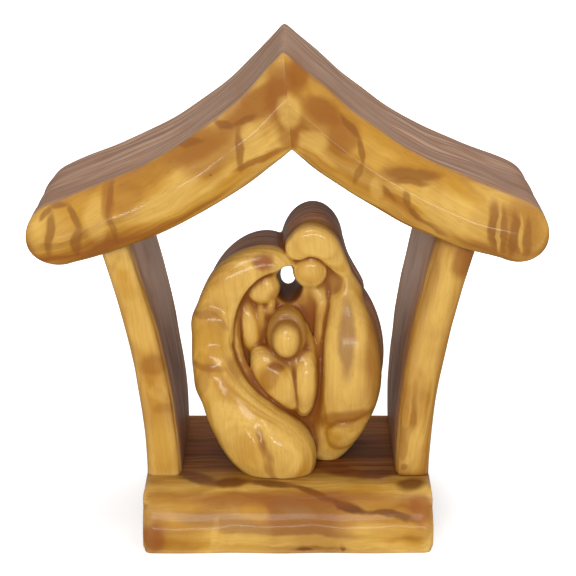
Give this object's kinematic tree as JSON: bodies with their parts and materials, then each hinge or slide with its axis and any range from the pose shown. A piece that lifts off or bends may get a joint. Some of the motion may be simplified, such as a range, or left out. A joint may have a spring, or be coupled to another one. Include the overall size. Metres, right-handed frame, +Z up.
{
  "type": "wooden nativity stable",
  "caption": "Small carved olive-wood stable: gabled roof of thick hollow-topped slabs on curved side walls and a base, sheltering a plain carved family group.",
  "frame": {"origin": "middle of the underside of the base, on the table", "axes": "+X to the viewer's right across the open front, +Y from the open front to the back, +Z up"},
  "size_m": [0.1163, 0.05, 0.1135],
  "materials": {
    "base_wood": "varnished olive wood, diagonal dark streaks, satin gloss",
    "wall_wood": "varnished olive wood, upright grain, satin gloss",
    "roof_wood": "varnished olive wood, broad blotches in front and fine lines down the slope, satin gloss",
    "family_wood": "smooth varnished olive wood, pale yellow with faint rings, gloss",
    "peg_wood": "plain unvarnished hardwood peg"
  },
  "bodies": {
    "root": {"base": "base_wood", "left_wall": "wall_wood", "right_wall": "wall_wood", "left_roof_slab": "roof_wood", "right_roof_slab": "roof_wood", "family_figure": "family_wood", "family_peg_left": "peg_wood", "family_peg_right": "peg_wood", "left_foot_peg_front": "peg_wood", "left_foot_peg_back": "peg_wood", "right_foot_peg_front": "peg_wood", "right_foot_peg_back": "peg_wood", "left_top_peg_front": "peg_wood", "left_top_peg_back": "peg_wood", "right_top_peg_front": "peg_wood", "right_top_peg_back": "peg_wood", "ridge_peg_front": "peg_wood", "ridge_peg_back": "peg_wood"}
  },
  "joints": []
}
